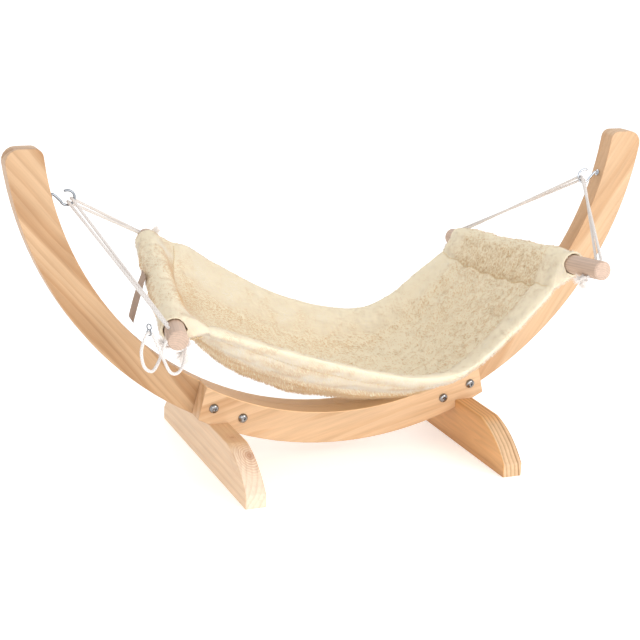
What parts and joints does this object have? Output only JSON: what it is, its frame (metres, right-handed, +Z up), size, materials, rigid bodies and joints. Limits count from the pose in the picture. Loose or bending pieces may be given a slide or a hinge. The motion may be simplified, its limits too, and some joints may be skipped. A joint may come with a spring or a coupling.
{
  "type": "crescent cat lounger",
  "caption": "Wooden crescent stand on cross feet with a plush sling hung by cords from hooks near its two tips, for a cat to lie and sway in.",
  "frame": {"origin": "on the floor, at the bottom centre of the bounding box: midway between the two feet and under the joint between the front and the back layer of the crescent", "axes": "+X towards the right arm, along the crescent; +Y towards the back, across the feet; +Z up"},
  "size_m": [0.7228, 0.3407, 0.343],
  "materials": {
    "pine_crescent": "clear satin lacquer on pine, sawn edges a little darker",
    "pine_feet": "clear satin lacquer on pine",
    "dowel_wood": "unfinished hardwood, smooth",
    "bolt_chrome": "bright nickel or chrome plate",
    "zinc_steel": "zinc plated",
    "hook_steel": "zinc-plated wire",
    "cotton_cord": "braided cotton cord",
    "plush": "ivory short-pile plush",
    "label_ribbon": "woven ribbon"
  },
  "bodies": {
    "stand": {"left_arm": "pine_crescent", "right_arm": "pine_crescent", "centre_brace": "pine_crescent", "left_foot": "pine_feet", "right_foot": "pine_feet", "brace_bolt_1": "bolt_chrome", "brace_bolt_2": "bolt_chrome", "brace_bolt_3": "bolt_chrome", "brace_bolt_4": "bolt_chrome", "bolt_washer_1": "zinc_steel", "bolt_washer_2": "zinc_steel", "bolt_washer_3": "zinc_steel", "bolt_washer_4": "zinc_steel", "bolt_nut_1": "zinc_steel", "bolt_nut_2": "zinc_steel", "bolt_nut_3": "zinc_steel", "bolt_nut_4": "zinc_steel", "left_foot_screw_1": "zinc_steel", "left_foot_screw_2": "zinc_steel", "right_foot_screw_1": "zinc_steel", "right_foot_screw_2": "zinc_steel", "left_hook": "hook_steel", "right_hook": "hook_steel"},
    "sling": {"plush_sling": "plush", "left_dowel": "dowel_wood", "right_dowel": "dowel_wood", "left_cord_1": "cotton_cord", "left_cord_2": "cotton_cord", "right_cord_1": "cotton_cord", "right_cord_2": "cotton_cord", "left_near_knot": "cotton_cord", "left_far_knot": "cotton_cord", "right_near_knot": "cotton_cord", "right_far_knot": "cotton_cord", "tail_cord": "cotton_cord", "adjuster_ring": "hook_steel", "sewn_label": "label_ribbon"}
  },
  "joints": [
    {"name": "sling_sway", "type": "hinge", "parent": "stand", "child": "sling", "pos_m": [0, 0.011, 0.2868], "axis": [1, 0, 0], "range_deg": [-20, 20]}
  ]
}
